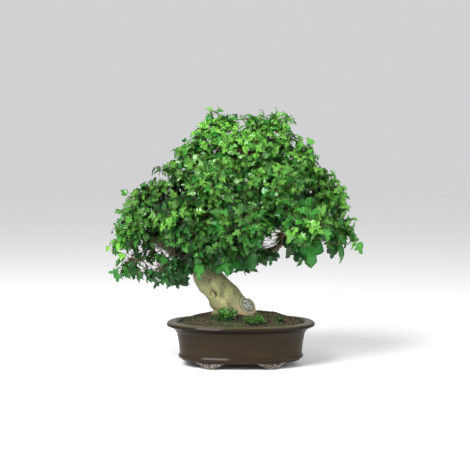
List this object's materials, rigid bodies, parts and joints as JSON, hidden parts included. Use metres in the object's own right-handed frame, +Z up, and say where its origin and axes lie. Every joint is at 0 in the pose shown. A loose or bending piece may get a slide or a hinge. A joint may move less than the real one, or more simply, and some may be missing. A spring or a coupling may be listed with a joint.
{
  "type": "potted bonsai tree",
  "caption": "Bonsai mulberry with a thick leaning trunk and a broad dome of small lobed leaves, planted in mounded soil in an oval footed ceramic pot.",
  "frame": {"origin": "on the surface that the pot stands on, under the middle of the whole outline; the pot's own middle lies a little to the right of it and towards the front", "axes": "+Z up, +X along the pot's long side to the viewer's right, front of the tree towards -Y, the trunk leans towards -X"},
  "size_m": [0.7154, 0.509, 0.7124],
  "materials": {
    "stoneware": "satin",
    "screen": "matte",
    "soil": "matte",
    "bark": "matte",
    "moss": "matte",
    "leaf": "satin"
  },
  "bodies": {
    "root": {"pot": "stoneware", "drain_screen_left": "screen", "drain_screen_right": "screen", "soil": "soil", "trunk": "bark", "moss_left": "moss", "moss_right": "moss", "moss_small": "moss", "leaves_apex_left": "leaf", "leaves_apex_right": "leaf", "leaves_apex_front": "leaf", "leaves_apex_back": "leaf", "leaves_upper_left": "leaf", "leaves_upper_right": "leaf", "leaves_upper_front_left": "leaf", "leaves_upper_front_right": "leaf", "leaves_upper_back_left": "leaf", "leaves_upper_back_right": "leaf", "leaves_left_shoulder": "leaf", "leaves_left_tip": "leaf", "leaves_right_shoulder": "leaf", "leaves_right_tip": "leaf", "leaves_middle_front_left": "leaf", "leaves_middle_front": "leaf", "leaves_middle_front_right": "leaf", "leaves_middle_back_left": "leaf", "leaves_middle_back": "leaf", "leaves_middle_back_right": "leaf", "leaves_low_left_tip": "leaf", "leaves_low_left": "leaf", "leaves_low_left_back": "leaf", "leaves_low_front": "leaf", "leaves_low_middle": "leaf", "leaves_low_right": "leaf", "leaves_low_back": "leaf"}
  },
  "joints": []
}
